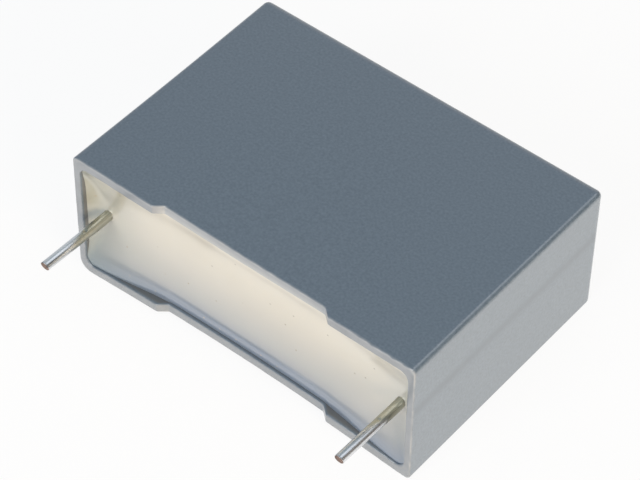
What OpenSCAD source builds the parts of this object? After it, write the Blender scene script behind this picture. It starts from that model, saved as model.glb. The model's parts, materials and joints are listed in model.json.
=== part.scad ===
// Box film capacitor: a flattened winding of metallised film with sprayed metal ends,
// two wire leads and a moulded plastic case that is closed with casting resin.
// X runs through both leads, -Y is the way the leads point, and +Z is up. The capacitor lies
// on its lower broad side. The origin is midway between the leads, level with the case's feet.

/* [Case] */
// How far the case reaches past the centre of each lead, along the line through them
end_reach = 2; // [1.7:0.05:3]
// Height of the case over the board, from its feet to its closed back
case_height = 22; // [17:0.5:30]
// Thickness of the case, across its two broad sides
case_thickness = 12; // [10:0.5:16]
// Wall of the two broad sides
broad_wall = 0.85; // [0.6:0.05:1.2]
// Wall of the two narrow ends
end_wall = 0.6; // [0.4:0.05:0.9]
// Wall of the closed back
back_wall = 1; // [0.6:0.1:2]
// Radius of three of the four long outer edges
edge_radius = 0.45; // [0.2:0.05:0.8]
// Radius of the fourth long outer edge, low on the left, which is moulded rounder
soft_edge_radius = 1.1; // [0.3:0.1:1.4]
// Radius of the outer edges round the closed back
back_radius = 0.6; // [0.2:0.1:1]
// Radius of the cavity's long inner edges
cavity_radius = 0.8; // [0.3:0.1:1.2]

/* [Sunk side] */
// How far the lower broad side has sunk in, at the middle of the rim
sink_depth = 0.6; // [0.2:0.05:1]
// How far back from the rim the sunk part runs
sink_run = 21; // [12:0.5:21.5]
// Flat strip that is left at each end of the sunk side
sink_margin = 1.2; // [1:0.1:3]

/* [Feet] */
// Height of the feet, which hold the middle of the rim off the board
foot_height = 0.65; // [0.3:0.05:1]
// Clear length between the feet, at the board
foot_gap = 16.2; // [8:0.2:22]
// Length of the ramp from each foot up to the middle of the rim
foot_ramp = 0.7; // [0.2:0.1:1.5]

/* [Casting resin] */
// Depth of the resin's level middle, measured from the feet
resin_depth = 1.45; // [1.1:0.05:2.5]
// How far the resin climbs where it wets the walls
resin_climb = 0.55; // [0.2:0.05:0.9]
// Radius of the curve in which it climbs
climb_radius = 3.5; // [2:0.1:5]
// How far the resin climbs on each lead
collar_height = 0.3; // [0.1:0.05:0.6]
// Width of the collar that it forms there, beyond the pressed wire
collar_width = 0.6; // [0.3:0.05:0.9]

/* [Leads] */
// Distance between the two leads, centre to centre, which also sets the case's length
lead_pitch = 27.5; // [22.5:0.5:37.5]
// Diameter of the lead wire
lead_diameter = 0.8; // [0.5:0.05:1]
// Free length of each lead below the feet, where the wire is round
lead_length = 5.5; // [3:0.5:30]
// How deep each side of the wire is pressed flat from the feet inwards, to be welded
press_depth = 0.07; // [0.03:0.01:0.12]
// How far the pressed wire spreads between its flats
press_spread = 0.03; // [0.01:0.01:0.06]
// Radius of the pressed wire's corners
press_corner = 0.2; // [0.1:0.01:0.22]
// How deep each lead is sunk into its sprayed end by the weld
weld_depth = 0.1; // [0.05:0.05:0.25]
// Distance from a lead's inner end to the back of the winding
lead_stop = 3; // [1:0.5:8]

/* [Winding] */
// Thickness of the metal sprayed on each end of the winding
spray_thickness = 0.6; // [0.4:0.05:1]
// Thickness of the plain film that covers the winding
cover_thickness = 0.2; // [0.1:0.05:0.5]
// Least resin between the covered winding and a broad side
side_cover = 0.2; // [0.1:0.05:0.5]
// Resin between the covered winding and the level surface of the resin
front_cover = 1; // [0.5:0.1:3]
// Resin between the covered winding and the closed back
back_cover = 0.4; // [0.2:0.1:2]

/* [Hidden] */
$fn = 96;
past = 1;                       // how far a cutting shape runs past what it cuts

case_length = lead_pitch + 2 * end_reach;
half_length = case_length / 2;
half_thickness = case_thickness / 2;
lead_radius = lead_diameter / 2;
lead_x = lead_pitch / 2;
flat_x = lead_radius - press_depth;             // from the wire's axis to each pressed flat
spread_z = lead_radius + press_spread;          // from the wire's axis to each side of its spread
cavity_length = case_length - 2 * end_wall;
cavity_thickness = case_thickness - 2 * broad_wall;
cavity_back = case_height - back_wall;

// The sunk side is a shallow trough: a very large roll, tipped so that it leaves the wall at sink_run
sink_half_width = half_length - sink_margin;
sink_radius = (pow(sink_half_width, 2) + pow(sink_depth, 2)) / (2 * sink_depth);
sink_tilt = atan(sink_depth / sink_run);
sink_fn = 720;

// The covered winding with its sprayed ends fills the room between the leads and inside the walls
spray_face_x = lead_x - flat_x + weld_depth;
winding_length = 2 * (spray_face_x - spray_thickness);
winding_front = resin_depth + front_cover;
winding_back = cavity_back - back_cover;
covered_height = winding_back - winding_front;
covered_thickness = cavity_thickness - 2 * (sink_depth + side_cover);
lead_inner_end = winding_back - lead_stop;

// The resin's curve leaves the level middle this far inside the walls
climb_run = sqrt(pow(climb_radius, 2) - pow(climb_radius - resin_climb, 2));
collar_radius = (pow(collar_width, 2) + pow(collar_height, 2)) / (2 * collar_height);

// ---- Outlines ----

// A rectangle about the origin with a radius for each corner, anticlockwise from the lower left
module rounded_rectangle(width, height, radii) {
    signs = [[-1, -1], [1, -1], [1, 1], [-1, 1]];
    difference() {
        square([width, height], center = true);
        for (i = [0:3])
            translate([signs[i].x * width / 2, signs[i].y * height / 2])
                square(2 * radii[i], center = true);
    }
    for (i = [0:3])
        translate([signs[i].x * (width / 2 - radii[i]), signs[i].y * (height / 2 - radii[i])])
            circle(radii[i]);
}

// A strip with two square corners at the rim and two round ones at the closed back
module back_rounded_strip(width) {
    square([case_height - back_radius, width], center = false);
    translate([0, back_radius])
        square([case_height, width - 2 * back_radius]);
    for (side = [back_radius, width - back_radius])
        translate([case_height - back_radius, side])
            circle(back_radius);
}

// The winding's flattened section: straight flanks between two half rounds
module flat_winding_outline(height, thickness) {
    straight = height - thickness;
    square([straight, thickness], center = true);
    for (end = [-1, 1])
        translate([end * straight / 2, 0])
            circle(d = thickness);
}

// ---- Directions ----

// Extrudes an outline given in X and -Z along Y, between two heights above the feet
module along_y(from, to) {
    translate([0, from, 0])
        rotate([-90, 0, 0])
            linear_extrude(to - from)
                children();
}

// Extrudes an outline given in Y and Z along X, centred on x
module along_x(x, length) {
    translate([x - length / 2, 0, 0])
        rotate([90, 0, 90])
            linear_extrude(length)
                children();
}

// ---- Case ----

// The roll that hollows the sunk side; extra lifts its surface to the wall's inner face
module sink_roll(extra) {
    translate([0, sink_run, -half_thickness])
        rotate([-sink_tilt, 0, 0])
            translate([0, 0, -sink_radius])
                rotate([90, 0, 0])
                    cylinder(r = sink_radius + extra, h = 4 * case_height, center = true, $fn = sink_fn);
}

module case_block() {
    intersection() {
        along_y(0, case_height)
            rounded_rectangle(case_length, case_thickness,
                              [edge_radius, edge_radius, edge_radius, soft_edge_radius]);
        along_x(0, case_length + 2 * past)
            translate([0, -half_thickness])
                back_rounded_strip(case_thickness);
        translate([half_length, 0, -half_thickness - past])
            rotate([0, 0, 90])
                linear_extrude(case_thickness + 2 * past)
                    back_rounded_strip(case_length);
    }
}

// The room inside the walls, from a given height above the feet back to the closed back
module cavity(from) {
    difference() {
        along_y(from, cavity_back)
            rounded_rectangle(cavity_length, cavity_thickness,
                              [cavity_radius, cavity_radius, cavity_radius, cavity_radius]);
        sink_roll(broad_wall);
    }
}

// What is cut away between the feet, through both broad sides
module foot_cut() {
    half_gap = foot_gap / 2;
    translate([0, 0, -half_thickness - past])
        linear_extrude(case_thickness + 2 * past)
            polygon([[-half_gap - foot_ramp, -foot_ramp], [-half_gap, 0],
                     [-half_gap + foot_ramp, foot_height], [half_gap - foot_ramp, foot_height],
                     [half_gap, 0], [half_gap + foot_ramp, -foot_ramp]]);
}

module case() {
    color("slategray")
        difference() {
            case_block();
            cavity(-past);
            foot_cut();
            sink_roll(0);
        }
}

// ---- Winding ----

// A length of the flattened section, where the winding and its ends lie
module flat_winding(x, length, inset = 0) {
    along_x(x, length)
        translate([(winding_front + winding_back) / 2, 0])
            flat_winding_outline(covered_height - 2 * inset, covered_thickness - 2 * inset);
}

module film_winding() {
    color("gainsboro")
        flat_winding(0, winding_length, cover_thickness);
}

module cover_film() {
    color("khaki")
        difference() {
            flat_winding(0, winding_length);
            flat_winding(0, winding_length + 2 * past, cover_thickness);
        }
}

// side is -1 on the left and 1 on the right
module end_spray(side) {
    color("darkgray")
        difference() {
            flat_winding(side * (spray_face_x - spray_thickness / 2), spray_thickness);
            lead_wire(side);
        }
}

// ---- Leads ----

// The whole wire: round below the feet, and pressed flat from there to its inner end
module lead_wire(side) {
    translate([side * lead_x, 0, 0]) {
        rotate([90, 0, 0])
            cylinder(r = lead_radius, h = lead_length);
        along_y(0, lead_inner_end)
            rounded_rectangle(2 * flat_x, 2 * spread_z,
                              [press_corner, press_corner, press_corner, press_corner]);
    }
}

module lead(side) {
    color("silver")
        lead_wire(side);
}

// ---- Casting resin ----

// The dish that the surface of the resin forms: level in the middle and rising to the walls
module resin_dish() {
    half_x = cavity_length / 2 - climb_run;
    half_z = cavity_thickness / 2 - climb_run;
    centre_y = resin_depth - climb_radius;
    translate([0, centre_y, 0]) {
        translate([-half_x, -climb_radius, -half_z])
            cube([2 * half_x, 2 * climb_radius, 2 * half_z]);
        translate([-half_x, 0, 0])
            rotate([0, 90, 0])
                linear_extrude(2 * half_x)
                    for (z = [-half_z, half_z])
                        translate([z, 0])
                            circle(climb_radius);
        for (x = [-half_x, half_x]) {
            translate([x, 0, -half_z])
                cylinder(r = climb_radius, h = 2 * half_z);
            for (z = [-half_z, half_z])
                translate([x, 0, z])
                    sphere(climb_radius);
        }
    }
}

// The resin that has climbed a lead
module lead_collar(side) {
    outer = spread_z + collar_width;
    translate([side * lead_x, resin_depth, 0])
        rotate([90, 0, 0])
            rotate_extrude()
                difference() {
                    translate([0, -front_cover / 2])
                        square([outer, front_cover / 2 + collar_height]);
                    translate([outer, collar_radius])
                        circle(collar_radius);
                }
}

module potting_resin() {
    color("antiquewhite")
        difference() {
            union() {
                difference() {
                    cavity(0);
                    resin_dish();
                }
                lead_collar(-1);
                lead_collar(1);
            }
            flat_winding(0, 2 * spray_face_x);
            lead_wire(-1);
            lead_wire(1);
        }
}

case();
potting_resin();
film_winding();
cover_film();
end_spray(-1);  // end_spray_left
end_spray(1);  // end_spray_right
lead(-1);  // lead_left
lead(1);  // lead_right
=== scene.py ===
"""The looks of the box film capacitor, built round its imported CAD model.

Lengths are in millimetres until a mesh is made. X runs through both leads, -Y is the way the
leads point, +Z is up, and Y is 0 at the case's feet.
"""
import json
import math

import bpy
from mathutils import Matrix, Vector, noise


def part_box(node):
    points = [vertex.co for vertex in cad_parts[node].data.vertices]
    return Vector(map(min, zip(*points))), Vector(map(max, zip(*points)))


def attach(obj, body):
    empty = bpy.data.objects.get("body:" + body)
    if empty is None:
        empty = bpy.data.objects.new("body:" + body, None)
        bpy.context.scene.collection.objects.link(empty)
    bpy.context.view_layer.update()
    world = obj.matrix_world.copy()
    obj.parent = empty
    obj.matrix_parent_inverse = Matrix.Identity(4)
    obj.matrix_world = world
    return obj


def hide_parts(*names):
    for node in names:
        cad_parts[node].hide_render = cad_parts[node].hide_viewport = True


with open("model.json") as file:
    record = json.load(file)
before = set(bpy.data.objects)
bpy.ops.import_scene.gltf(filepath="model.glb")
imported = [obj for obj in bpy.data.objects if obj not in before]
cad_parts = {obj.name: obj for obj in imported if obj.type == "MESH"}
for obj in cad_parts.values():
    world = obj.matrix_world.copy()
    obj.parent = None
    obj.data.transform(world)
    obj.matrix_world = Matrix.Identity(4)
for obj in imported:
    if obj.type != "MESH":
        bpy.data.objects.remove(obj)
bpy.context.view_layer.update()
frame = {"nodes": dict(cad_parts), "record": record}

MM = 0.001


# ---- Sizes ----

def box_mm(node):
    """The lowest and the highest corner of a node's box."""
    low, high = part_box(node)
    return low / MM, high / MM


mounts = {mount["name"]: mount for mount in frame["record"]["mounts"]}
case_low, case_high = box_mm("case")
resin_low, resin_high = box_mm("potting_resin")

HALF_LENGTH = case_high.x
HALF_THICKNESS = case_high.z
HEIGHT = case_high.y
CAVITY_HALF_LENGTH = resin_high.x
CAVITY_HALF_THICKNESS = resin_high.z
CAVITY_BACK = resin_high.y
WIRE_RADIUS = mounts["lead_left"]["dims"]["r_mm"]
WIRE_X = mounts["lead_pattern"]["dims"]["pcd_mm"] / 2
LEAD_LENGTH = mounts["lead_left"]["dims"]["length_mm"]

EDGE_RADIUS = 0.42          # three of the long outer edges
SOFT_EDGE_RADIUS = 1.1      # the lower left one
BACK_RADIUS = 0.6
BACK_TIGHTENING = 0.6       # share of their radius that the long edges lose towards the back
LEAST_RADIUS = 0.12
CAVITY_RADIUS = 0.8
RIM_EDGE_RADIUS = 0.11

FOOT_HEIGHT = 0.59
FOOT_START = 8.1            # where a foot's ramp begins, from the middle
FOOT_RAMP = 0.7
RAMP_SOFTNESS = 0.09        # share of the ramp's length that rounds its ends

SINK_DEPTH = 0.6            # of the lower broad side, at the middle of the rim
SINK_RUN = 21               # how far back it goes
SINK_HALF_WIDTH = HALF_LENGTH - 1.2
SINK_SOFTNESS = 0.02
TOP_BOW = 0.1
BOW_HALF_WIDTH = HALF_LENGTH - 3
END_SINK = 0.07             # of the left end wall, half way back
END_SINK_REACH = 0.6
SHIFT_FROM = 3.5            # distance from the middle plane where a broad side's shift sets in
SHIFT_FULL = 4.5            # and where it is whole

RESIN_DEPTH = 1.65          # of the resin's middle, from the feet
RESIN_RIPPLE = 0.012
SIDE_CLIMB = 0.88           # up a broad wall, between the feet
SIDE_RANGE = 2.2
SIDE_POWER = 1.3
CORNER_CLIMB = 0.825        # more than that in the corners, where it reaches the rim
CORNER_FROM = 6.5           # distance from the middle where that sets in
CORNER_FULL = 15.5          # and where it is whole
END_CLIMB = 1.15
END_RANGE = 0.6
CLIMB_BLEND = 3             # the higher, the less two walls' climbs add up where they meet
RIM_GAP = 0.05              # how far below the rim the resin's edge stays at least
RIM_GAP_SOFTNESS = 0.3
LEFT_STEP = 0.14            # how much further below it stays on the left wall
LEFT_STEP_RANGE = 0.7
LEFT_STEP_FROM = 0.8        # distance from the lower wall where that sets in
LEFT_STEP_FULL = 3.0        # and where it is whole
WIRE_CLIMB = 0.16
WIRE_CLIMB_RANGE = 0.4
RESIN_BITE = 0.03           # how far the resin's edge reaches into the wall that holds it


def smooth_step(edge_a, edge_b, value):
    """0 before the first edge and 1 past the second, which may be the lower one."""
    t = min(max((value - edge_a) / (edge_b - edge_a), 0), 1)
    return t * t * (3 - 2 * t)


def fall_off(distance, reach, power=1):
    """1 at no distance, falling towards 0 past the reach, the more suddenly the higher the power."""
    return math.exp(-(distance / reach) ** power)


def soft_positive(value, softness):
    """value where it is positive and 0 elsewhere, with the corner rounded."""
    return (value + math.hypot(value, softness)) / 2


def rim_height(x):
    """Height of the rim above the feet: 0 on the feet and FOOT_HEIGHT between them."""
    t = (FOOT_START - abs(x)) / FOOT_RAMP
    rise = soft_positive(t, RAMP_SOFTNESS) - soft_positive(t - 1, RAMP_SOFTNESS)
    return FOOT_HEIGHT * rise


def sink(x, y):
    """How far the lower broad side lies in from its true plane."""
    roll_radius = (SINK_HALF_WIDTH ** 2 + SINK_DEPTH ** 2) / (2 * SINK_DEPTH)
    depth = SINK_DEPTH * (1 - y / SINK_RUN) - x * x / (2 * roll_radius)
    return soft_positive(depth, SINK_SOFTNESS)


def moulded(x, y, z):
    """A point of the box as it came out of the mould, its broad sides and left end a little sunk."""
    towards_rim = max(1 - y / HEIGHT, 0)
    low = smooth_step(-SHIFT_FROM, -SHIFT_FULL, z)
    high = smooth_step(SHIFT_FROM, SHIFT_FULL, z)
    across = smooth_step(0, 1, 1 - abs(x) / BOW_HALF_WIDTH)
    drawn_in = END_SINK * smooth_step(END_SINK_REACH - HALF_LENGTH, -HALF_LENGTH, x)
    x += drawn_in * math.sin(math.pi * min(max(y / HEIGHT, 0), 1))
    return Vector((x, y, z + low * sink(x, y) - high * TOP_BOW * across * towards_rim))


# ---- Mesh making ----

def make_piece(name, points, faces, material, body="root"):
    """A smooth mesh in metres, made of points in millimetres, that rides a body."""
    mesh = bpy.data.meshes.new(name)
    mesh.from_pydata([point * MM for point in points], [], faces)
    mesh.validate()
    mesh.materials.append(material)
    for polygon in mesh.polygons:
        polygon.use_smooth = True
    piece = bpy.data.objects.new(name, mesh)
    bpy.context.scene.collection.objects.link(piece)
    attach(piece, body)
    return piece


def add_layer(piece, name, values):
    """A value for each point of a piece, which its material can read."""
    layer = piece.data.attributes.new(name, "FLOAT", "POINT")
    layer.data.foreach_set("value", values)


def loft(loops):
    """Quads between closed loops of the same length, and a cap on the first and on the last."""
    count = len(loops[0])
    points = [point for loop in loops for point in loop]
    faces = []
    for row in range(len(loops) - 1):
        start, above = row * count, (row + 1) * count
        for i in range(count):
            j = (i + 1) % count
            faces.append((start + i, start + j, above + j, above + i))
    faces.append(tuple(reversed(range(count))))
    faces.append(tuple(range(len(points) - count, len(points))))
    return points, faces


def spaced(start, stop, steps):
    """Values from start to stop, both included, in equal steps."""
    return [start + (stop - start) * i / steps for i in range(steps + 1)]


# ---- Case ----

STATION_LIMIT = 13          # stations nearer the middle than this have the same x on every loop
RAMP_MARGIN = 0.3           # how far past a ramp's ends the stations stay close together

FLASH_START = 10.4          # x where the moulding flash begins on the rim's upper edge
FLASH_END = 15.5
FLASH_FADE = 0.6
FLASH_HEIGHT = 0.09

RIM_GRAIN = 0.018
RIM_FINE_GRAIN = 0.008
HIGHLIGHT_LINE_PLACE = 0.1       # share of the way across the rim where its painted highlight line runs
HIGHLIGHT_LINE_WIDTH = 0.1
HIGHLIGHT_LINE_LEAST = 0.15      # what is left of the line where it is broken
HIGHLIGHT_LINE_SHARE = 0.5
PALE_MIDDLE_SHARE = 0.75    # of the rim between the upper feet
FLOW_MARK_Z = 1.5
FLOW_MARK_WIDTH = 0.5
FLOW_MARK_REACH = 0.1       # how far in from the end wall it still shows

# Where the case's loops lie, as shares of the way across the back, along the outside, across the
# rim (with how far the flash stands out there), down the inside and across the cavity's floor.
BACK_LOOPS = (0.1, 0.4, 0.7, 0.9, 0.98)
SIDE_LOOPS = (0.006, 0.05, 0.12, 0.2, 0.3, 0.4, 0.5, 0.6, 0.7, 0.8, 0.88, 0.94, 0.97, 0.99, 0.997)
RIM_LOOPS = ((0.2, 0.8), (0.3, 0.3), (0.42, 0), (0.58, 0), (0.74, 0))
INSIDE_LOOPS = (0.01, 0.03, 0.06, 0.1, 0.2, 0.4, 0.6, 0.8, 1)
CAVITY_FLOOR_LOOPS = (0.9, 0.4)
BACK_TURNS = 6              # steps round the back's rounded edge
RIM_TURNS = 4               # and round each of the rim's two


def broad_side_stations():
    """Stations along a broad side, closer together round the feet's ramps."""
    inner = FOOT_START - FOOT_RAMP - RAMP_MARGIN
    outer = FOOT_START + RAMP_MARGIN
    half = spaced(0, inner, 14)[:-1] + spaced(inner, outer, 26)[:-1] + spaced(outer, STATION_LIMIT, 9)
    half += spaced(STATION_LIMIT, HALF_LENGTH, 9)[1:]
    return [-x for x in reversed(half[1:])] + half


STATIONS = broad_side_stations()
END_STATIONS = spaced(-1, 1, 40)
CORNER_STEPS = 16


def station_x(station, reach):
    """A station's x on a side whose straight part reaches that far from the middle."""
    if abs(station) <= STATION_LIMIT:
        return station
    share = (abs(station) - STATION_LIMIT) / (HALF_LENGTH - STATION_LIMIT)
    return math.copysign(STATION_LIMIT + share * (reach - STATION_LIMIT), station)


def box_outline(half_x, half_z, radii):
    """(x, z) round a box, anticlockwise from its lower left; radii in that order of corners."""
    lower_left, lower_right, upper_right, upper_left = radii

    def side(z, left, right):
        return [(station_x(s, half_x - (left if s < 0 else right)), z) for s in STATIONS]

    def corner(sign_x, sign_z, radius, start):
        centre_x, centre_z = sign_x * (half_x - radius), sign_z * (half_z - radius)
        turns = [math.radians(start + 90 * i / CORNER_STEPS) for i in range(1, CORNER_STEPS)]
        return [(centre_x + radius * math.cos(a), centre_z + radius * math.sin(a)) for a in turns]

    def end(x, below, above):
        low, high = -half_z + below, half_z - above
        return [(x, low + (high - low) * (s + 1) / 2) for s in END_STATIONS]

    points = side(-half_z, lower_left, lower_right)
    points += corner(1, -1, lower_right, -90)
    points += end(half_x, lower_right, upper_right)
    points += corner(1, 1, upper_right, 0)
    points += list(reversed(side(half_z, upper_left, upper_right)))
    points += corner(-1, 1, upper_left, 90)
    points += list(reversed(end(-half_x, lower_left, upper_left)))
    points += corner(-1, -1, lower_left, 180)
    return points


def outer_outline(inset=0):
    """The case's outside, drawn in by inset where it rounds over to the closed back."""
    share = min(inset / BACK_RADIUS, 1)
    kept = 1 - BACK_TIGHTENING * share
    soft, plain = (max(radius * kept, LEAST_RADIUS) for radius in (SOFT_EDGE_RADIUS, EDGE_RADIUS))
    return box_outline(HALF_LENGTH - inset, HALF_THICKNESS - inset, (soft, plain, plain, plain))


def cavity_outline():
    """The case's inside."""
    return box_outline(CAVITY_HALF_LENGTH, CAVITY_HALF_THICKNESS, (CAVITY_RADIUS,) * 4)


def flash(x, z):
    """How far the thin moulding flash stands out of the rim's upper edge near its right end."""
    if z < CAVITY_HALF_THICKNESS:
        return 0
    along = smooth_step(FLASH_START, FLASH_START + FLASH_FADE, x)
    along *= 1 - smooth_step(FLASH_END - FLASH_FADE, FLASH_END, x)
    ragged = noise.noise(Vector((x * 1.9, 3.1, 0))) + 0.5 * noise.noise(Vector((x * 5.3, 7.7, 0)))
    return FLASH_HEIGHT * along * max(ragged + 0.25, 0)


def rim_grain(x, z):
    """How far the rim's face stands out of its true plane."""
    spot = Vector((x * 1.4, z * 1.4, 5.0))
    return RIM_GRAIN * noise.noise(spot) + RIM_FINE_GRAIN * noise.noise(spot * 4)


def painted_highlight_and_pale_middle(x, z, inwards):
    """How pale the rim is painted, inwards from 0 at its outer edge to 1: a broken painted highlight line,
    and a pale middle.
    """
    broken = noise.noise(Vector((x * 1.7, z * 1.7, 11.0))) + 0.5
    line = min(max(broken, HIGHLIGHT_LINE_LEAST), 1)
    line *= fall_off(inwards - HIGHLIGHT_LINE_PLACE, HIGHLIGHT_LINE_WIDTH, 2)
    between_feet = 1 - smooth_step(FOOT_START - FOOT_RAMP, FOOT_START, abs(x))
    upper = smooth_step(HALF_THICKNESS - 1.5, HALF_THICKNESS - 1, z)
    return min(HIGHLIGHT_LINE_SHARE * line + PALE_MIDDLE_SHARE * between_feet * upper * inwards, 1)


def flow_mark(x, z):
    """A faint darker band along the right end wall, where the plastic met in the mould."""
    on_end = smooth_step(HALF_LENGTH - FLOW_MARK_REACH, HALF_LENGTH, x)
    return on_end * fall_off(z - FLOW_MARK_Z, FLOW_MARK_WIDTH, 2)


def rounded(radius, share):
    """Inset and rise on a rounded edge, from 0 where the edge begins to 1 where it ends."""
    turn = math.radians(90 * share)
    return radius * (1 - math.cos(turn)), radius * (1 - math.sin(turn))


def case_loops():
    """Closed loops from the middle of the back, over the outside, across the rim and down inside.

    The lists returned with them give each point its share of the rim's painted sheen, of its painted
    highlight line and pale middle, of the flow mark and of the painted shade inside.
    """
    outside, inside = outer_outline(), cavity_outline()
    loops = []
    layers = {"rim": [], "pale_rim_marks": [], "flow": [], "inside": []}

    def add(points, share=0.0, inwards=None, inner=0.0):
        loops.append([moulded(*point) for point in points])
        for x, _, z in points:
            layers["rim"].append(share)
            layers["pale_rim_marks"].append(0.0 if inwards is None else painted_highlight_and_pale_middle(x, z, inwards))
            layers["flow"].append(flow_mark(x, z) if inwards is None and not inner else 0.0)
            layers["inside"].append(inner)

    for share in BACK_LOOPS:
        add([(x * share, HEIGHT, z * share) for x, z in outer_outline(BACK_RADIUS)])
    for step in range(BACK_TURNS + 1):
        inset, drop = rounded(BACK_RADIUS, 1 - step / BACK_TURNS)
        add([(x, HEIGHT - drop, z) for x, z in outer_outline(inset)])
    top = HEIGHT - BACK_RADIUS
    for share in SIDE_LOOPS:
        add([(x, top + (rim_height(x) + RIM_EDGE_RADIUS - top) * share, z) for x, z in outside])

    def rim_loop(share, rise, standing_out):
        points = []
        for (x0, z0), (x1, z1) in zip(outside, inside):
            x, z = x0 + (x1 - x0) * share, z0 + (z1 - z0) * share
            y = rim_height(x) + rise - rim_grain(x, z) * (1 - rise / RIM_EDGE_RADIUS)
            points.append((x, y - standing_out * flash(x0, z0), z))
        return points

    wall = HALF_THICKNESS - CAVITY_HALF_THICKNESS
    for step in range(RIM_TURNS + 1):
        inset, rise = rounded(RIM_EDGE_RADIUS, step / RIM_TURNS)
        add(rim_loop(inset / wall, rise, min(step, 2) / 2), step / RIM_TURNS, inset / wall)
    for share, standing_out in RIM_LOOPS:
        add(rim_loop(share, 0, standing_out), 1.0, share)
    for step in range(RIM_TURNS + 1):
        inset, rise = rounded(RIM_EDGE_RADIUS, 1 - step / RIM_TURNS)
        add(rim_loop(1 - inset / wall, rise, 0), 1 - step / RIM_TURNS, 1 - inset / wall)
    for share in INSIDE_LOOPS:
        points = []
        for x, z in inside:
            start = rim_height(x) + RIM_EDGE_RADIUS
            points.append((x, start + (CAVITY_BACK - start) * share, z))
        # the cavity's walls, which get painted shade
        add(points, inner=1.0)
    for share in CAVITY_FLOOR_LOOPS:
        add([(x * share, CAVITY_BACK, z * share) for x, z in inside], inner=1.0)
    return loops, layers


# ---- Resin ----

WIRE_SURROUND = 1.6         # how far from a wire's middle, inwards, the columns stay close together
END_STRETCH = 0.2           # before an end wall, where they close up further
WIRE_ROWS = 0.28            # share of the half thickness that the rows at the wires take up
WALL_ROWS = 0.9             # and the share from which they close up towards the walls


def wall_gaps(x, z):
    """Distances to the lower, upper, left and right walls."""
    low_wall = -CAVITY_HALF_THICKNESS + sink(x, RESIN_DEPTH)
    gaps = (z - low_wall, CAVITY_HALF_THICKNESS - z, x + CAVITY_HALF_LENGTH, CAVITY_HALF_LENGTH - x)
    return [max(gap, 0) for gap in gaps]


def resin_level(x, z):
    """Depth of the resin's surface: level in the middle, climbing the walls and the wires."""
    low, high, left, right = wall_gaps(x, z)
    side_climb = SIDE_CLIMB + CORNER_CLIMB * smooth_step(CORNER_FROM, CORNER_FULL, abs(x))
    up_sides = side_climb * sum(fall_off(gap, SIDE_RANGE, SIDE_POWER) for gap in (low, high))
    up_ends = END_CLIMB * sum(fall_off(gap, END_RANGE) for gap in (left, right))
    climb = (up_sides ** CLIMB_BLEND + up_ends ** CLIMB_BLEND) ** (1 / CLIMB_BLEND)
    from_wire = max(math.hypot(abs(x) - WIRE_X, z) - WIRE_RADIUS, 0)
    climb += WIRE_CLIMB * fall_off(from_wire, WIRE_CLIMB_RANGE)
    ripple = RESIN_RIPPLE * noise.noise(Vector((x * 0.35, z * 0.6, 2.0)))
    step = LEFT_STEP * fall_off(left, LEFT_STEP_RANGE)
    step *= smooth_step(LEFT_STEP_FROM, LEFT_STEP_FULL, low)
    highest = rim_height(x) + RIM_GAP + step
    return highest + soft_positive(RESIN_DEPTH - climb + ripple - highest, RIM_GAP_SOFTNESS)


def resin_shade_towards_low_wall(x, z):
    """How much cooler the resin is painted towards the sunk wall: partly the wall showing through
    its thin edge, partly painted shade and a painted reflection of the floor's shade.
    """
    low = wall_gaps(x, z)[0]
    broad = 0.74 * fall_off(low, reach=4.6, power=1.5)
    narrow = 0.26 * fall_off(low, reach=1.05, power=2)
    return min(broad + narrow, 1)


def resin_shade_towards_other_walls(x, z):
    """Painted shade and a painted reflection of the dark wall towards the end walls and the upper wall."""
    high, left, right = wall_gaps(x, z)[1:]
    at_left = 0.62 * fall_off(left, reach=3.0, power=1.3)
    at_right = 0.03 * fall_off(right, reach=0.9, power=2)
    at_top = 0.12 * fall_off(high, reach=0.25)
    return min(at_left + at_right + at_top, 1)


def resin_columns():
    """x of the surface's columns, close together round the wires and at the ends."""
    end = CAVITY_HALF_LENGTH
    near = WIRE_X - WIRE_SURROUND
    half = spaced(0, near, 60)[:-1] + spaced(near, end - END_STRETCH, 44)[:-1]
    half += [end - END_STRETCH * (1 - math.sin(math.radians(a))) for a in range(0, 91, 10)]
    return [-x for x in reversed(half[1:])] + half


def resin_rows():
    """Share of the half thickness for each row, close together at the wires and at the walls."""
    half = spaced(0, WIRE_ROWS, 18)[:-1] + spaced(WIRE_ROWS, WALL_ROWS, 20)[:-1]
    half += spaced(WALL_ROWS, 1, 8)
    return [-z for z in reversed(half[1:])] + half


def resin_mesh():
    """Points, faces, and for each point its painted shade towards the lower wall and towards the other
    walls.
    """
    columns, rows = resin_columns(), resin_rows()
    points, film, end_and_top_wall_shade = [], [], []
    for layer in ("surface", "back"):
        for x in columns:
            past_corner = max(abs(x) - (CAVITY_HALF_LENGTH - CAVITY_RADIUS), 0)
            drop = CAVITY_RADIUS - math.sqrt(max(CAVITY_RADIUS ** 2 - past_corner ** 2, 0))
            reach = CAVITY_HALF_THICKNESS - drop + RESIN_BITE
            for row in rows:
                z = row * reach
                y = resin_level(x, z) if layer == "surface" else CAVITY_BACK
                points.append(moulded(x, y, z))
                film.append(resin_shade_towards_low_wall(x, z) if layer == "surface" else 0.0)
                end_and_top_wall_shade.append(resin_shade_towards_other_walls(x, z) if layer == "surface" else 0.0)
    across, along = len(rows), len(columns)
    back = across * along
    faces = []
    for i in range(along - 1):
        for j in range(across - 1):
            a, b = i * across + j, (i + 1) * across + j
            faces.append((a, b, b + 1, a + 1))
            faces.append((back + a, back + a + 1, back + b + 1, back + b))
    edge = [i * across for i in range(along)]
    edge += [(along - 1) * across + j for j in range(1, across)]
    edge += [i * across + across - 1 for i in range(along - 2, -1, -1)]
    edge += list(range(across - 2, 0, -1))
    for a, b in zip(edge, edge[1:] + edge[:1]):
        faces.append((a, back + a, back + b, b))
    return points, faces, film, end_and_top_wall_shade


# ---- Leads ----

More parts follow.
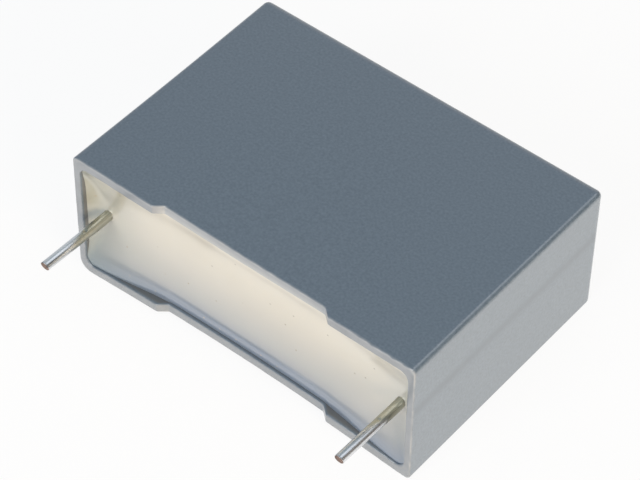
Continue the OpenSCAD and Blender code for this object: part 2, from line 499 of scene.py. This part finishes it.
WIRE_SIDES = 48
WIRE_ANGLES = [-2 * math.pi * i / WIRE_SIDES for i in range(WIRE_SIDES)]
PRESS_START = -1.2          # from here the wire is pressed flatter and flatter up to the feet
PRESS_RAMP = 1.2
DULL_START = -1.9           # where it turns dull and takes a painted reflection, on average round the wire
DULL_SLANT = 1.1            # and how much further in that is on the wire's outward side
DULL_BEFORE = 0.5           # how far it fades out on either side of that boundary
DULL_AFTER = 0.6
PRESS_DEPTH = 0.07
PRESS_BULGE = 0.03
PRESS_FLATTENING = 0.85     # how flat the pressed sides are, 1 being quite flat
NICK_DEPTH = 0.07           # of the small dent on top, where the pressing starts
NICK_LENGTH = 0.12
NICK_EDGE = 0.93            # share of the radius above which the wire is dented
DRAWN_DEPTH = 0.006         # of the lines that drawing left
SHEAR_TILT = math.radians(10)
SHEAR_FADE = 0.8            # how far from the tip the rings still lean
WIRE_LEAN = 0.12            # how far the tips lean to the left


def wire_loop(side, y, scale=1.0):
    """One ring of the wire. The sheared end leans, and the lean dies out away from it."""
    pressed = smooth_step(PRESS_START, PRESS_START + PRESS_RAMP, y)
    radius = WIRE_RADIUS + PRESS_BULGE * pressed
    flat = WIRE_RADIUS - PRESS_DEPTH * pressed
    nicked = fall_off(y - PRESS_START, NICK_LENGTH, 2)
    leaning = max(1 - (y + LEAD_LENGTH) / SHEAR_FADE, 0)
    centre_x = side * WIRE_X - WIRE_LEAN * max(-y, 0) / LEAD_LENGTH
    loop = []
    for angle in WIRE_ANGLES:
        across, up = math.cos(angle), math.sin(angle)
        x, z = radius * across, radius * up
        if abs(x) > flat:
            x = math.copysign(flat + (abs(x) - flat) * (1 - PRESS_FLATTENING * pressed), x)
        drawn = DRAWN_DEPTH * noise.noise(Vector((across * 5, up * 5, y * 0.25 + side * 9)))
        dent = NICK_DEPTH * nicked * max(up - NICK_EDGE, 0) / (1 - NICK_EDGE)
        grow = scale * (1 + (drawn - dent) / WIRE_RADIUS)
        lean = math.tan(SHEAR_TILT) * (WIRE_RADIUS - z * scale) * leaning
        loop.append(Vector((centre_x + x * grow, y + lean, z * grow)))
    return loop


def wire_mesh(side, node):
    """Points, faces, and two values for each point: on the sheared end, and on the duller part, which has
    a painted reflection.

    Each ring is its y, its scale and its share of the sheared end.
    """
    low, high = box_mm(node)
    tip, inner_end = low.y, high.y
    press_end = PRESS_START + PRESS_RAMP
    rings = [(tip, 0.45, 1), (tip, 0.8, 1), (tip + 0.004, 0.93, 1), (tip + 0.03, 0.975, 0.3),
             (tip + 0.07, 1.0, 0)]
    rings += [(y, 1.0, 0) for y in spaced(tip + 0.2, PRESS_START - 0.2, 26)]
    rings += [(y, 1.0, 0) for y in spaced(PRESS_START - 0.17, press_end + 0.1, 24)]
    rings += [(y, 1.0, 0) for y in spaced(press_end + 0.3, 2.0, 12)]
    rings += [(y, 1.0, 0) for y in spaced(3.0, inner_end, 6)]
    loops, cut, dull_with_painted_reflection = [], [], []
    for y, scale, cut_share in rings:
        loops.append(wire_loop(side, y, scale))
        for angle in WIRE_ANGLES:
            start = DULL_START + DULL_SLANT * side * math.cos(angle)
            cut.append(cut_share)
            dull_with_painted_reflection.append(smooth_step(start - DULL_BEFORE, start + DULL_AFTER, y))
    return (*loft(loops), cut, dull_with_painted_reflection)


# ---- Materials ----

SPECK_SPACING = 1.9
SPECK_SIZE = 0.1
SPECK_CORE = 0.4            # share of a speck's size that has its full colour
SPECK_NONE = 0.56           # cells with a random value below this have no speck
SPECK_WHOLE = 0.75          # and those above this have a strong one


def node_material(name):
    """A new material, its nodes, its links and its shader."""
    material = bpy.data.materials.new(name)
    material.use_nodes = True
    tree = material.node_tree
    return material, tree.nodes, tree.links, tree.nodes["Principled BSDF"]


def object_noise(nodes, links, scale, detail, stretch=(1, 1, 1)):
    """Noise laid in the object's own millimetres."""
    coordinates = nodes.new("ShaderNodeTexCoord")
    mapping = nodes.new("ShaderNodeMapping")
    mapping.inputs["Scale"].default_value = [s / MM for s in stretch]
    texture = nodes.new("ShaderNodeTexNoise")
    texture.inputs["Scale"].default_value = scale
    texture.inputs["Detail"].default_value = detail
    links.new(coordinates.outputs["Object"], mapping.inputs["Vector"])
    links.new(mapping.outputs["Vector"], texture.inputs["Vector"])
    return texture.outputs["Fac"]


def surface_specks(nodes, links):
    """1 in a few small dots on the object's XZ plane, 0 elsewhere."""
    coordinates = nodes.new("ShaderNodeTexCoord")
    mapping = nodes.new("ShaderNodeMapping")
    mapping.inputs["Rotation"].default_value = (math.radians(-90), 0, 0)
    mapping.inputs["Scale"].default_value = (1 / MM,) * 3
    cells = nodes.new("ShaderNodeTexVoronoi")
    cells.voronoi_dimensions = "2D"
    cells.inputs["Scale"].default_value = 1 / SPECK_SPACING
    dots = nodes.new("ShaderNodeMapRange")
    dots.inputs["From Min"].default_value = SPECK_SIZE / SPECK_SPACING
    dots.inputs["From Max"].default_value = SPECK_CORE * SPECK_SIZE / SPECK_SPACING
    links.new(coordinates.outputs["Object"], mapping.inputs["Vector"])
    links.new(mapping.outputs["Vector"], cells.inputs["Vector"])
    links.new(cells.outputs["Distance"], dots.inputs["Value"])
    few = nodes.new("ShaderNodeMapRange")
    few.inputs["From Min"].default_value = SPECK_NONE
    few.inputs["From Max"].default_value = SPECK_WHOLE
    links.new(cells.outputs["Color"], few.inputs["Value"])
    return mix_value(nodes, links, few.outputs["Result"], 0.0, dots.outputs["Result"])


def colour_ramp(nodes, links, factor, stops):
    """A colour by the factor, between stops that are each a position and a colour."""
    ramp = nodes.new("ShaderNodeValToRGB")
    elements = ramp.color_ramp.elements
    while len(elements) < len(stops):
        elements.new(0.5)
    for element, (position, colour) in zip(elements, stops):
        element.position = position
        element.color = (*colour, 1)
    links.new(factor, ramp.inputs["Fac"])
    return ramp.outputs["Color"]


def layer_value(nodes, name):
    """The value that the mesh gives each point."""
    node = nodes.new("ShaderNodeAttribute")
    node.attribute_name = name
    return node.outputs["Fac"]


def mix_colour(nodes, links, factor, first, second):
    """first where the factor is 0 and second where it is 1. Each is a socket or a colour."""
    node = nodes.new("ShaderNodeMix")
    node.data_type = "RGBA"
    links.new(factor, node.inputs["Factor"])
    for key, colour in (("A", first), ("B", second)):
        if isinstance(colour, tuple):
            node.inputs[key].default_value = (*colour, 1)
        else:
            links.new(colour, node.inputs[key])
    return node.outputs["Result"]


def mix_value(nodes, links, factor, first, second):
    """The same for a plain value."""
    node = nodes.new("ShaderNodeMix")
    links.new(factor, node.inputs["Factor"])
    for key, value in (("A", first), ("B", second)):
        if isinstance(value, (int, float)):
            node.inputs[key].default_value = value
        else:
            links.new(value, node.inputs[key])
    return node.outputs["Result"]


def value_range(nodes, links, factor, low, high):
    """The factor's 0 to 1 as low to high."""
    node = nodes.new("ShaderNodeMapRange")
    node.inputs["To Min"].default_value = low
    node.inputs["To Max"].default_value = high
    links.new(factor, node.inputs["Value"])
    return node.outputs["Result"]


def add_bump(nodes, links, shader, height, distance, strength):
    """Fine relief, with its height in millimetres."""
    bump = nodes.new("ShaderNodeBump")
    bump.inputs["Distance"].default_value = distance * MM
    bump.inputs["Strength"].default_value = strength
    links.new(height, bump.inputs["Height"])
    links.new(bump.outputs["Normal"], shader.inputs["Normal"])


def srgb(red, green, blue):
    """A screen colour, 0 to 255, as the linear colour that the shader takes."""
    def linear(value):
        value /= 255
        return value / 12.92 if value <= 0.04045 else ((value + 0.055) / 1.055) ** 2.4
    return tuple(linear(value) for value in (red, green, blue))


def case_material():
    """Satin moulded plastic with a glossy skin: a painted sheen makes the rim paler, with a painted
    highlight line and a pale middle on it, and painted shade darkens the inside.
    """
    material, nodes, links, shader = node_material("case_moulding")
    tone = object_noise(nodes, links, 5.0, 3)
    colour = colour_ramp(nodes, links, tone, [(0.25, srgb(80, 96, 112)), (0.75, srgb(97, 113, 129))])
    # Painted sheen: the rim gets a paler, mottled colour that stands for the reflection of a bright floor.
    pale_rim_marks = object_noise(nodes, links, 0.8, 4)
    rim = colour_ramp(nodes, links, pale_rim_marks, [(0.3, srgb(120, 125, 130)), (0.7, srgb(132, 137, 142))])
    surface = mix_colour(nodes, links, layer_value(nodes, "rim"), colour, rim)
    # Painted highlight: a broken pale line near the rim's outer edge, and a paler middle between the upper
    # feet.
    surface = mix_colour(nodes, links, layer_value(nodes, "pale_rim_marks"), surface, srgb(176, 178, 178))
    surface = mix_colour(nodes, links, layer_value(nodes, "flow"), surface, srgb(78, 93, 108))
    # Painted shade: the cavity's walls are made darker, standing for the little light that reaches into
    # it.
    surface = mix_colour(nodes, links, layer_value(nodes, "inside"), surface, srgb(91, 94, 96))
    links.new(surface, shader.inputs["Base Color"])
    links.new(value_range(nodes, links, object_noise(nodes, links, 1.2, 5), 0.40, 0.5),
              shader.inputs["Roughness"])
    shader.inputs["Coat Weight"].default_value = 1.0
    shader.inputs["Coat IOR"].default_value = 1.8
    shader.inputs["Coat Roughness"].default_value = 0.2
    add_bump(nodes, links, shader, object_noise(nodes, links, 7.0, 4), 0.016, 0.45)
    return material


def resin_material():
    """Glossy cream resin, through whose thin edge the wall shows, with shade and reflection painted in
    towards the walls.
    """
    material, nodes, links, shader = node_material("cast_resin")
    tone = object_noise(nodes, links, 0.12, 3)
    colour = colour_ramp(nodes, links, tone, [(0.35, srgb(211, 203, 184)), (0.7, srgb(216, 209, 191))])
    # Painted shade and a painted reflection towards the lower wall, partly the wall showing through the
    # thin edge.
    cooler = mix_colour(nodes, links, layer_value(nodes, "film"), colour, srgb(118, 130, 146))
    # Painted shade and a painted reflection of the dark walls towards the ends and the upper wall,
    # strongest at the left.
    wall_shaded = mix_colour(nodes, links, layer_value(nodes, "end_and_top_wall_shade"), cooler, srgb(104, 120, 118))
    specks = surface_specks(nodes, links)
    links.new(mix_colour(nodes, links, specks, wall_shaded, srgb(158, 150, 134)),
              shader.inputs["Base Color"])
    shader.inputs["Roughness"].default_value = 0.3
    shader.inputs["IOR"].default_value = 1.55
    shader.inputs["Coat Weight"].default_value = 1.0
    shader.inputs["Coat IOR"].default_value = 1.8
    shader.inputs["Coat Roughness"].default_value = 0.2
    shader.inputs["Subsurface Weight"].default_value = 0.1
    shader.inputs["Subsurface Radius"].default_value = (0.8 * MM, 0.7 * MM, 0.5 * MM)
    shader.inputs["Subsurface Scale"].default_value = 1.0
    add_bump(nodes, links, shader, object_noise(nodes, links, 0.6, 3), 0.02, 0.3)
    return material


def tinned_material():
    """Tinned wire with drawing lines: duller near the box, where an olive tint is a painted reflection of
    the resin, and copper on its sheared end.
    """
    material, nodes, links, shader = node_material("tinned_wire")
    streaks = object_noise(nodes, links, 1.0, 4, stretch=(6, 0.25, 6))
    tin = colour_ramp(nodes, links, streaks, [(0.3, srgb(178, 183, 188)), (0.7, srgb(240, 243, 246))])
    tin_with_painted_reflection = colour_ramp(nodes, links, streaks, [(0.3, srgb(158, 158, 144)), (0.7, srgb(206, 205, 192))])
    copper = colour_ramp(nodes, links, streaks, [(0.3, srgb(84, 66, 58)), (0.7, srgb(164, 136, 122))])
    dull_with_painted_reflection, cut = layer_value(nodes, "dull_with_painted_reflection"), layer_value(nodes, "cut")
    # Painted reflection: the duller part near the box takes an olive tint that stands for the resin's
    # reflection.
    surface = mix_colour(nodes, links, dull_with_painted_reflection, tin, tin_with_painted_reflection)
    links.new(mix_colour(nodes, links, cut, surface, copper), shader.inputs["Base Color"])
    links.new(mix_value(nodes, links, dull_with_painted_reflection, 0.88, 0.95), shader.inputs["Metallic"])
    bright = value_range(nodes, links, streaks, 0.16, 0.34)
    rough = mix_value(nodes, links, dull_with_painted_reflection, bright, 0.34)
    links.new(mix_value(nodes, links, cut, rough, 0.5), shader.inputs["Roughness"])
    add_bump(nodes, links, shader, streaks, 0.012, 0.5)
    return material


def film_material(name, dark, light):
    """Wound plastic film, with its turns as fine lines."""
    material, nodes, links, shader = node_material(name)
    turns = object_noise(nodes, links, 1.0, 3, stretch=(0.2, 6, 6))
    colour = colour_ramp(nodes, links, turns, [(0.3, dark), (0.7, light)])
    links.new(colour, shader.inputs["Base Color"])
    shader.inputs["Roughness"].default_value = 0.25
    add_bump(nodes, links, shader, turns, 0.01, 0.3)
    return material


def spray_material():
    """Coarse sprayed metal."""
    material, nodes, links, shader = node_material("sprayed_zinc")
    grain = object_noise(nodes, links, 5.0, 6)
    colour = colour_ramp(nodes, links, grain, [(0.3, srgb(128, 129, 131)), (0.7, srgb(176, 177, 178))])
    links.new(colour, shader.inputs["Base Color"])
    shader.inputs["Metallic"].default_value = 0.9
    shader.inputs["Roughness"].default_value = 0.62
    add_bump(nodes, links, shader, grain, 0.05, 0.8)
    return material


# ---- Build ----

case_rings, case_layers = case_loops()
case_piece = make_piece("moulded_case", *loft(case_rings), case_material())
for layer_name, layer_values in case_layers.items():
    add_layer(case_piece, layer_name, layer_values)
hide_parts("case")

resin_points, resin_faces, low_wall_shade_shares, end_and_top_shade_shares = resin_mesh()
resin_piece = make_piece("set_resin", resin_points, resin_faces, resin_material())
add_layer(resin_piece, "film", low_wall_shade_shares)
add_layer(resin_piece, "end_and_top_wall_shade", end_and_top_shade_shares)
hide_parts("potting_resin")

tinned = tinned_material()
for side, node in ((-1, "lead_left"), (1, "lead_right")):
    wire_points, wire_faces, cut_shares, dull_reflection_shares = wire_mesh(side, node)
    wire = make_piece(node.replace("lead", "wire"), wire_points, wire_faces, tinned)
    add_layer(wire, "cut", cut_shares)
    add_layer(wire, "dull_with_painted_reflection", dull_reflection_shares)
    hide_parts(node)

inner_materials = {
    "film_winding": film_material("wound_film", srgb(170, 172, 176), srgb(205, 207, 210)),
    "cover_film": film_material("plain_film", srgb(205, 200, 180), srgb(226, 222, 204)),
    "end_spray_left": spray_material(),
    "end_spray_right": spray_material(),
}
for node, material in inner_materials.items():
    slots = frame["nodes"][node].data.materials
    slots.clear()
    slots.append(material)


# ---- Floor, world, lamps and camera ----

FLOOR_HALF = 0.2            # half the floor's width, in metres
FLOOR_WHITENESS = 0.9       # the rest is the floor as it is lit, which keeps the object's shadow

# The surroundings are FAR_LIGHT with these patches over it, each one on top of those before. A
# patch is its direction, the degrees from it within which it is whole and at which it ends, and
# its light.
FAR_LIGHT = (0.26, 0.28, 0.31)
LIGHT_PATCHES = (
    ((0, 0, 1), 20, 75, (0.35, 0.42, 0.46)),                # overhead
    ((-0.5, 0.82, 0.1), 18, 45, (0.8, 0.8, 0.8)),           # bright, behind to the left
    ((0.21, 0.52, 0.83), 8, 20, (1.3, 1.35, 1.45)),         # small and brightest, behind and high up
    ((0.82, 0.54, 0.14), 24, 44, (0.03, 0.03, 0.035)),      # dark, behind to the right
    ((-0.43, -0.9, 0.1), 20, 45, (0.22, 0.27, 0.35)),       # dim and bluish, in front to the left
    ((0, 0, -1), 78, 84, (0.9, 0.9, 0.9)),                  # below the horizon
)


def background_share(nodes, links):
    """1 for rays from the camera and for those that metal and glass send on, 0 for other light."""
    path = nodes.new("ShaderNodeLightPath")
    share = path.outputs["Is Camera Ray"]
    for ray in ("Is Glossy Ray", "Is Transmission Ray"):
        either = nodes.new("ShaderNodeMath")
        either.operation = "MAXIMUM"
        links.new(share, either.inputs[0])
        links.new(path.outputs[ray], either.inputs[1])
        share = either.outputs[0]
    return share


def make_floor():
    """A pale floor level with the case's lower side. Seen or reflected, it is whiter than it is lit."""
    material, nodes, links, shader = node_material("pale_floor")
    shader.inputs["Base Color"].default_value = (0.95, 0.95, 0.95, 1)
    shader.inputs["Roughness"].default_value = 0.9
    shader.inputs["Specular IOR Level"].default_value = 0.0
    white = nodes.new("ShaderNodeEmission")
    share = nodes.new("ShaderNodeMath")
    share.operation = "MULTIPLY"
    share.inputs[1].default_value = FLOOR_WHITENESS
    mix = nodes.new("ShaderNodeMixShader")
    links.new(background_share(nodes, links), share.inputs[0])
    links.new(share.outputs[0], mix.inputs[0])
    links.new(shader.outputs[0], mix.inputs[1])
    links.new(white.outputs[0], mix.inputs[2])
    links.new(mix.outputs[0], nodes["Material Output"].inputs["Surface"])
    half = FLOOR_HALF
    mesh = bpy.data.meshes.new("floor")
    corners = [(-half, -half), (half, -half), (half, half), (-half, half)]
    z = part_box("case")[0].z
    mesh.from_pydata([(x, y, z) for x, y in corners], [], [(0, 1, 2, 3)])
    mesh.materials.append(material)
    floor = bpy.data.objects.new("floor", mesh)
    bpy.context.scene.collection.objects.link(floor)


def make_world():
    """Soft surroundings. Past the floor's edge the camera sees them as they are."""
    world = bpy.data.worlds.new("surroundings")
    world.use_nodes = True
    bpy.context.scene.world = world
    nodes, links = world.node_tree.nodes, world.node_tree.links
    coordinates = nodes.new("ShaderNodeTexCoord")

    def around(direction, near, far):
        """1 within near degrees of a direction, falling to 0 at far degrees."""
        dot = nodes.new("ShaderNodeVectorMath")
        dot.operation = "DOT_PRODUCT"
        dot.inputs[1].default_value = Vector(direction).normalized()
        links.new(coordinates.outputs["Generated"], dot.inputs[0])
        share = nodes.new("ShaderNodeMapRange")
        share.interpolation_type = "SMOOTHSTEP"
        share.inputs["From Min"].default_value = math.cos(math.radians(far))
        share.inputs["From Max"].default_value = math.cos(math.radians(near))
        links.new(dot.outputs["Value"], share.inputs["Value"])
        return share.outputs["Result"]

    light = FAR_LIGHT
    for direction, near, far, colour in LIGHT_PATCHES:
        light = mix_colour(nodes, links, around(direction, near, far), light, colour)
    links.new(light, nodes["Background"].inputs["Color"])


def add_lamp(name, direction, distance, size, watts, colour, glossy=True):
    """A round lamp that faces the object. Its distance and size are in metres."""
    lamp = bpy.data.lights.new(name, "AREA")
    lamp.shape = "DISK"
    lamp.size = size
    lamp.energy = watts
    lamp.color = colour
    holder = bpy.data.objects.new(name, lamp)
    back = Vector(direction).normalized()
    holder.location = back * distance
    holder.rotation_euler = back.to_track_quat("Z", "Y").to_euler()
    holder.visible_glossy = glossy
    bpy.context.scene.collection.objects.link(holder)


def make_camera():
    """A long lens that looks down on the leads and the right-hand end."""
    azimuth, elevation, roll = math.radians(38.69), math.radians(47.76), math.radians(0.98)
    place = Vector((85.36, -97.46, 150.8)) * MM
    back = Vector((math.sin(azimuth) * math.cos(elevation), -math.cos(azimuth) * math.cos(elevation),
                   math.sin(elevation)))
    camera = bpy.data.objects.new("camera", bpy.data.cameras.new("camera"))
    camera.data.lens = 156.41
    camera.data.sensor_width = 36
    camera.data.clip_start = 0.01
    camera.data.clip_end = 10
    turn = (-back).to_track_quat("-Z", "Y").to_matrix().to_4x4()
    camera.matrix_world = Matrix.Translation(place) @ turn @ Matrix.Rotation(roll, 4, "Z")
    bpy.context.scene.collection.objects.link(camera)
    bpy.context.scene.camera = camera


make_floor()
make_world()
add_lamp("right_softbox", (0.93, -0.25, 0.2), distance=0.5, size=0.35, watts=3.5,
         colour=(1.0, 0.76, 0.52), glossy=False)
add_lamp("front_softbox", (0.0, -0.88, 0.45), distance=0.6, size=0.4, watts=2.08,
         colour=(0.96, 0.98, 1.0))
make_camera()
bpy.context.scene.view_settings.view_transform = "Standard"
